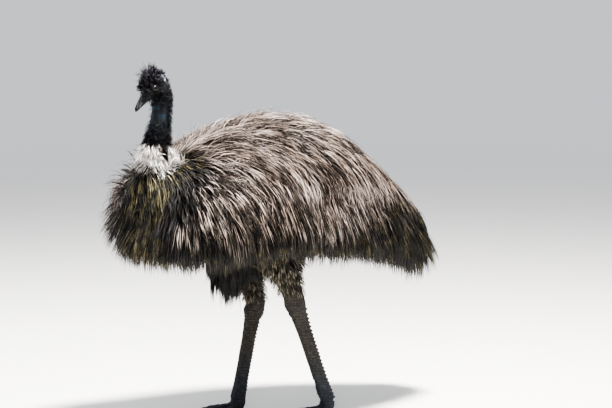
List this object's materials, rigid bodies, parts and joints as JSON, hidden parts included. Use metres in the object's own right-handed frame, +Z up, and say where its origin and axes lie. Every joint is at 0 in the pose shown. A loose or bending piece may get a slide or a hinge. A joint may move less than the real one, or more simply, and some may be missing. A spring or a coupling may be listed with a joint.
{
  "type": "standing emu, life-size museum model",
  "caption": "Standing emu with shaggy drooping plumage, a low S-curved neck, a downturned bill and scaled legs, modelled as a still life-size figure.",
  "frame": {"origin": "on the floor under the middle of the bird's bounding box", "axes": "+Z up, -Y the way the bird faces, +X towards its left side"},
  "size_m": [0.6144, 1.16, 1.1401],
  "materials": {
    "plumage": "long shaggy grey-brown plumage, dark at the roots and tips",
    "collar": "soft pale feathers at the base of the neck",
    "neck_skin": "bare dark blue skin under black hair-like feathers",
    "head_skin": "dark skin under black hair-like feathers",
    "bill_horn": "dark horn with a soft gloss",
    "eye": "wet reddish brown",
    "leg_feathers": "short olive-brown feathers",
    "leg_scales": "grey-brown scaled skin",
    "claw_horn": "worn dark horn"
  },
  "bodies": {
    "root": {"breast": "plumage", "torso": "plumage", "tail": "plumage", "wing_left": "plumage", "wing_right": "plumage", "neck_lower": "collar", "neck_upper": "neck_skin", "head": "head_skin", "bill_upper": "bill_horn", "bill_lower": "bill_horn", "eye_left": "eye", "eye_right": "eye", "thigh_left": "leg_feathers", "thigh_right": "leg_feathers", "shank_left": "leg_scales", "shank_right": "leg_scales", "foot_left": "leg_scales", "foot_right": "leg_scales", "claw_inner_left": "claw_horn", "claw_middle_left": "claw_horn", "claw_outer_left": "claw_horn", "claw_inner_right": "claw_horn", "claw_middle_right": "claw_horn", "claw_outer_right": "claw_horn"}
  },
  "joints": []
}
